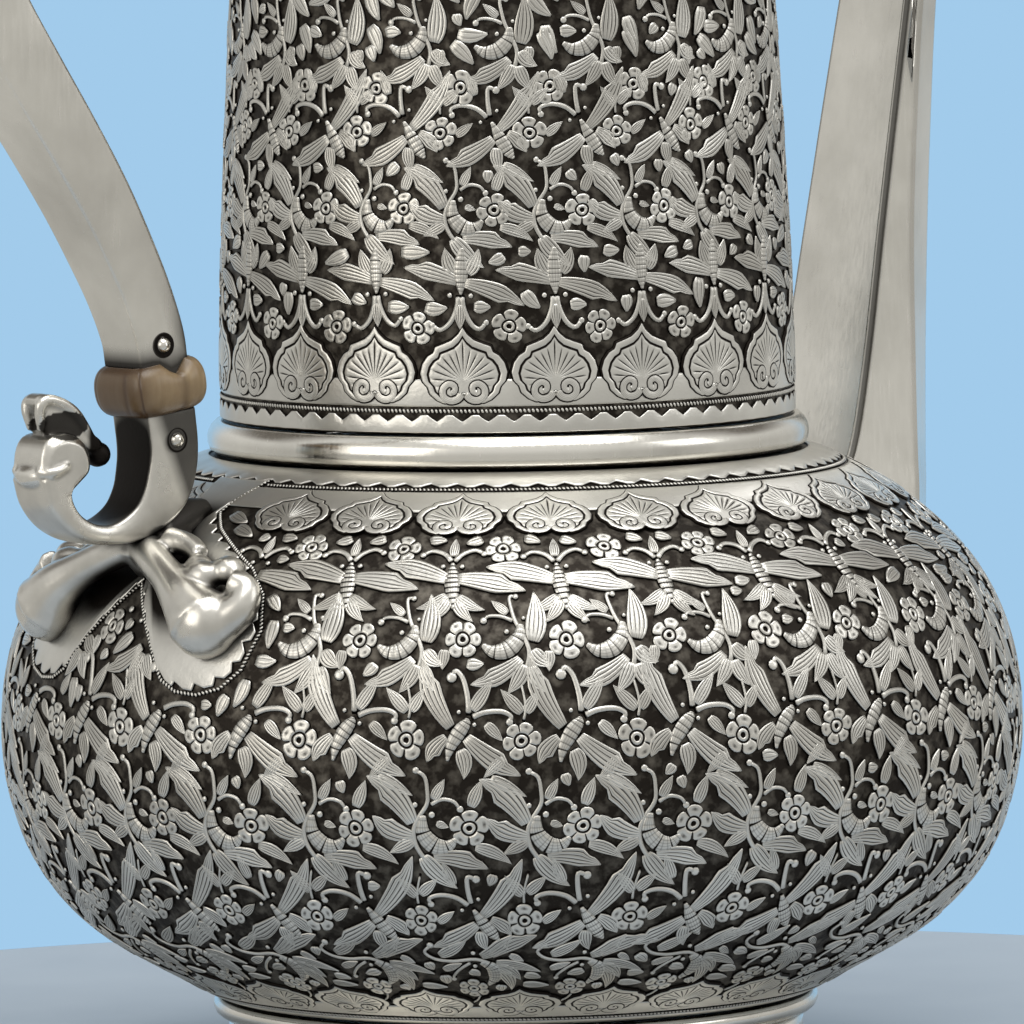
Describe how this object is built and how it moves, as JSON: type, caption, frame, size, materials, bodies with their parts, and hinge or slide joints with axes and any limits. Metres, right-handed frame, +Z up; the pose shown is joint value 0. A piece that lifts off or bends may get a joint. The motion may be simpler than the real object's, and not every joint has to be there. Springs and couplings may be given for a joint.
{
  "type": "coffee pot",
  "caption": "Silver coffee pot with a bulbous chased belly, tall neck, hinged domed lid, faceted spout and a hollow handle insulated with ivory collars.",
  "frame": {"origin": "on the pot's axis at floor level, under the middle of the foot", "axes": "+Z up along the pot's axis, +X toward the spout, -X toward the handle and the lid hinge, the XZ plane is the plane of symmetry"},
  "size_m": [0.2146, 0.1534, 0.2624],
  "materials": {
    "chased_silver": "oxidised silver, chased and matted",
    "plain_silver": "polished silver",
    "cast_silver": "cast silver, oxidised in the hollows",
    "ivory": "aged ivory, satin",
    "silver_wire": "drawn silver"
  },
  "bodies": {
    "pot": {"belly": "chased_silver", "neck": "chased_silver", "neck_ring": "plain_silver", "mouth_rim": "plain_silver", "foot_collar": "plain_silver", "foot_ring": "plain_silver", "foot_wire": "plain_silver", "spout": "plain_silver", "spout_lip": "plain_silver", "handle_grip": "plain_silver", "scroll_bracket": "cast_silver", "scroll_mount": "cast_silver", "neck_bracket": "cast_silver", "hinge_leaf_body": "cast_silver", "lower_insulator": "ivory", "upper_insulator": "ivory", "hinge_pin": "silver_wire", "lower_body_rivet": "silver_wire", "lower_grip_rivet": "silver_wire", "upper_body_rivet": "silver_wire", "upper_grip_rivet": "silver_wire"},
    "lid": {"lid_dome": "chased_silver", "lid_bezel": "plain_silver", "finial_collar": "plain_silver", "finial_bud": "chased_silver", "finial_stud": "silver_wire", "finial_nut": "silver_wire", "hinge_leaf_lid": "cast_silver"}
  },
  "joints": [
    {"name": "lid_hinge", "type": "hinge", "parent": "pot", "child": "lid", "pos_m": [-0.0456, 0, 0.2102], "axis": [0, -1, 0], "range_deg": [0, 100]}
  ]
}
